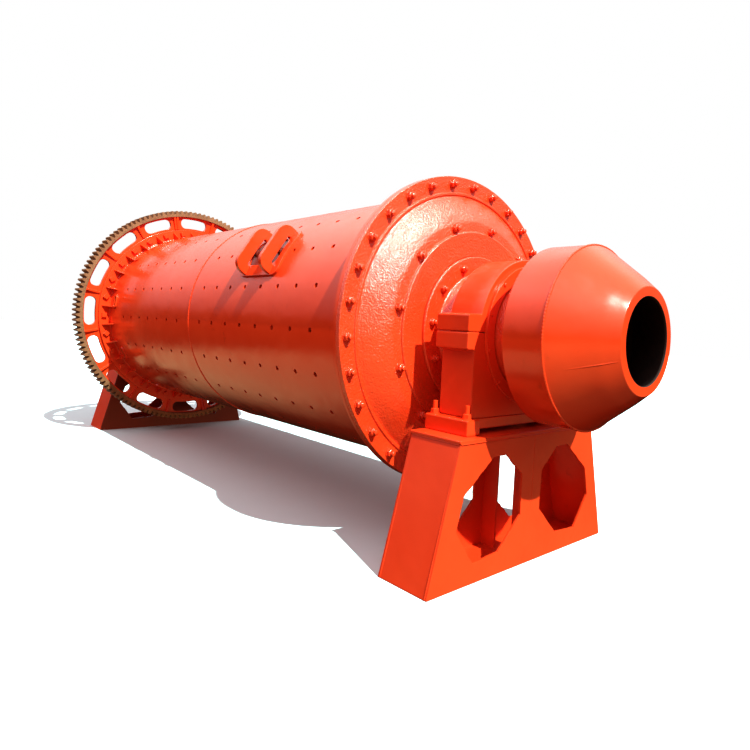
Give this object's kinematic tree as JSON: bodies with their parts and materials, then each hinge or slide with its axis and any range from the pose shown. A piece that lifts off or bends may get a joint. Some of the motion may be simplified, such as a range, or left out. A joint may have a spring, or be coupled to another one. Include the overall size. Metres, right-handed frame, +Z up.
{
  "type": "ball mill",
  "caption": "Overflow ball mill: long bolted drum on trunnion bearings and plate stands, with a drum feeder, a girth gear and a clamped manhole.",
  "frame": {"origin": "middle of the whole footprint, on the ground", "axes": "+X along the drum's axis from the gear end to the feeder's mouth, +Z up"},
  "size_m": [6.555, 2.556, 2.683],
  "materials": {
    "shell_paint": "gloss",
    "flange_paint": "gloss",
    "head_casting": "rough cast, gloss paint",
    "trunnion_steel": "satin",
    "feeder_paint": "gloss",
    "gear_steel": "bare, light rust",
    "manhole_paint": "gloss",
    "housing_paint": "gloss",
    "bearing_metal": "machined",
    "seal_paint": "gloss",
    "stand_paint": "gloss"
  },
  "bodies": {
    "base": {"feed_bearing_pedestal": "housing_paint", "feed_bearing_cap": "housing_paint", "feed_bearing_bush": "bearing_metal", "feed_bearing_sole": "housing_paint", "feed_outer_seal": "seal_paint", "feed_inner_seal": "seal_paint", "feed_stand_top_plate": "stand_paint", "feed_stand_front_plate": "stand_paint", "feed_stand_rear_plate": "stand_paint", "feed_stand_left_plate": "stand_paint", "feed_stand_right_plate": "stand_paint", "feed_stand_front_rib": "stand_paint", "feed_stand_rear_rib": "stand_paint", "drive_bearing_pedestal": "housing_paint", "drive_bearing_cap": "housing_paint", "drive_bearing_bush": "bearing_metal", "drive_bearing_sole": "housing_paint", "drive_outer_seal": "seal_paint", "drive_inner_seal": "seal_paint", "drive_stand_top_plate": "stand_paint", "drive_stand_front_plate": "stand_paint", "drive_stand_rear_plate": "stand_paint", "drive_stand_left_plate": "stand_paint", "drive_stand_right_plate": "stand_paint", "drive_stand_front_rib": "stand_paint", "drive_stand_rear_rib": "stand_paint"},
    "drum": {"feed_shell_course": "shell_paint", "drive_shell_course": "shell_paint", "feed_shell_flange": "flange_paint", "drive_shell_flange": "flange_paint", "drive_flange_gussets": "flange_paint", "shell_slotted_pads": "shell_paint", "feed_head": "head_casting", "feed_trunnion": "trunnion_steel", "feeder_drum": "feeder_paint", "feeder_cone": "feeder_paint", "drive_head": "head_casting", "drive_trunnion": "trunnion_steel", "discharge_throat": "feeder_paint", "girth_gear_front_half": "gear_steel", "girth_gear_rear_half": "gear_steel", "manhole_frame": "manhole_paint", "manhole_cover": "manhole_paint", "manhole_feed_yoke": "manhole_paint", "manhole_drive_yoke": "manhole_paint"}
  },
  "joints": [
    {"name": "drum_spin", "type": "hinge", "parent": "base", "child": "drum", "pos_m": [0, 0, 1.405], "axis": [1, 0, 0], "continuous": true}
  ]
}
